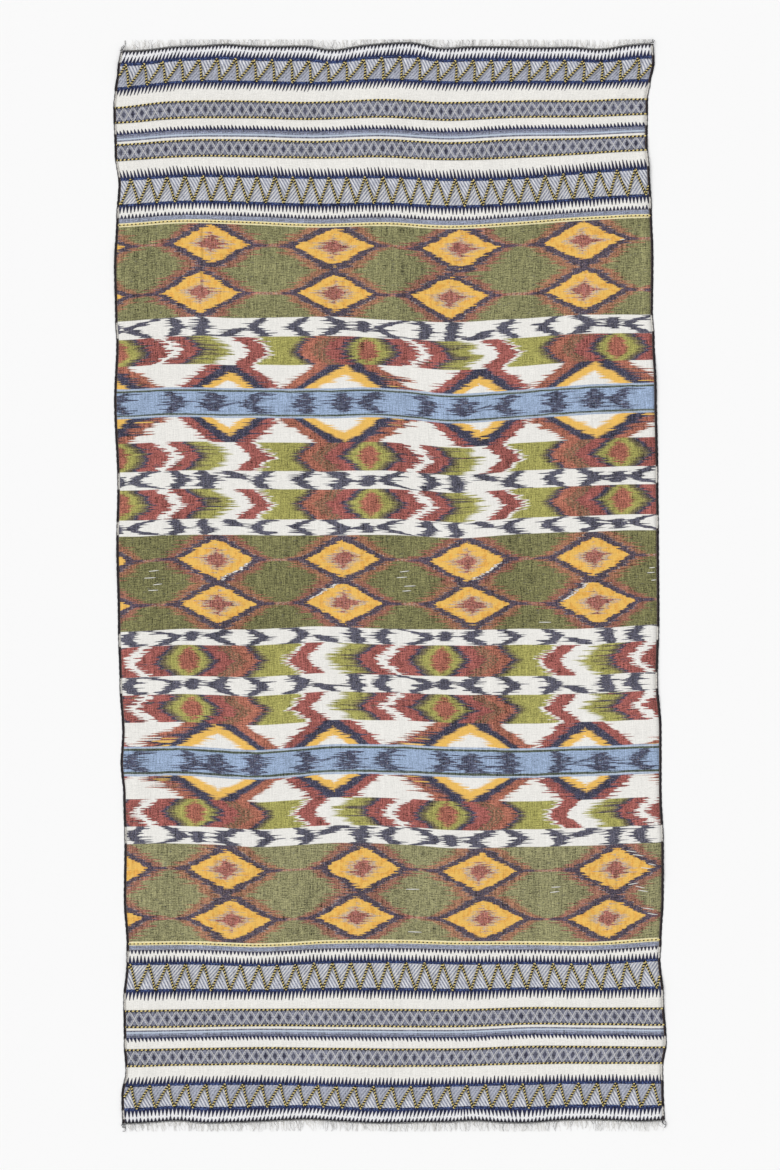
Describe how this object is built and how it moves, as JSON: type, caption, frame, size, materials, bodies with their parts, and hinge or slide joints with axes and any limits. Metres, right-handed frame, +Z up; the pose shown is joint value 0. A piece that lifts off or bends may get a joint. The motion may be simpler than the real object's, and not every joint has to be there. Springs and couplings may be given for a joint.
{
  "type": "ikat scarf",
  "caption": "Long rectangular woven cotton ikat scarf laid out flat, with brocade borders, dark selvedges and short fringed ends.",
  "frame": {"origin": "on the surface the scarf lies on, under the middle of its bounding box", "axes": "+X across the cloth, +Y along its length, +Z up through its thickness, right side up"},
  "size_m": [1.025, 2.02, 0.0051],
  "materials": {
    "cloth": "plain-woven cotton with weft ikat in green, ochre, red, navy and blue on off-white, and grey-blue brocade bands near both ends",
    "selvedge": "packed black cotton warp with the dyed weft turning round it",
    "fringe": "cut off-white and grey cotton warp ends, tangled, held by one dark line of weft"
  },
  "bodies": {
    "root": {"cloth": "cloth", "selvedge_left": "selvedge", "selvedge_right": "selvedge", "fringe_top": "fringe", "fringe_bottom": "fringe"}
  },
  "joints": []
}
